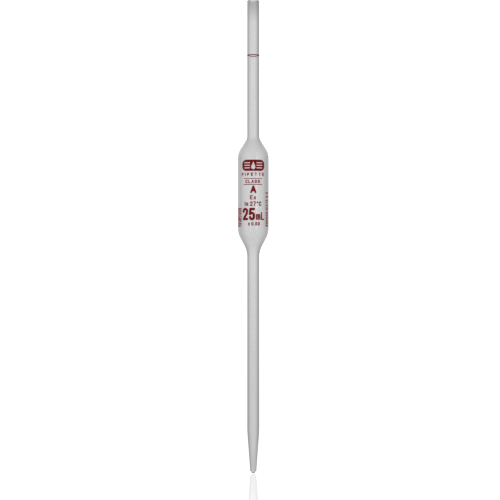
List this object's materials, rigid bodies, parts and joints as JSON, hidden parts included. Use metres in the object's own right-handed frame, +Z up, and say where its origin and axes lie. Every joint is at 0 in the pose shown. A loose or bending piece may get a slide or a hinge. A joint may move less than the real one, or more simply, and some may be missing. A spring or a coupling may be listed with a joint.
{
  "type": "volumetric pipette",
  "caption": "Slim glass transfer pipette: a straight stem with a ring mark, a cylindrical bulb with printed markings, and a long lower stem drawn to a tapered jet.",
  "frame": {"origin": "centre of the jet's outlet, the lowest point of the pipette", "axes": "+Z up along the pipette's axis towards the mouth; the capacity lettering faces -Y; +X to the right of the lettering"},
  "size_m": [0.0218, 0.0218, 0.3334],
  "materials": {
    "glass": "polished",
    "enamel": "gloss"
  },
  "bodies": {
    "root": {"suction_tube": "glass", "bulb": "glass", "delivery_tube": "glass", "jet": "glass", "ring_mark": "enamel", "maker_panel": "enamel", "title_print": "enamel", "upper_rule": "enamel", "class_print": "enamel", "lower_rule": "enamel", "class_letter": "enamel", "delivery_print": "enamel", "temperature_print": "enamel", "capacity_digits": "enamel", "capacity_unit": "enamel", "tolerance_print": "enamel", "left_side_print": "enamel", "right_side_print": "enamel"}
  },
  "joints": []
}
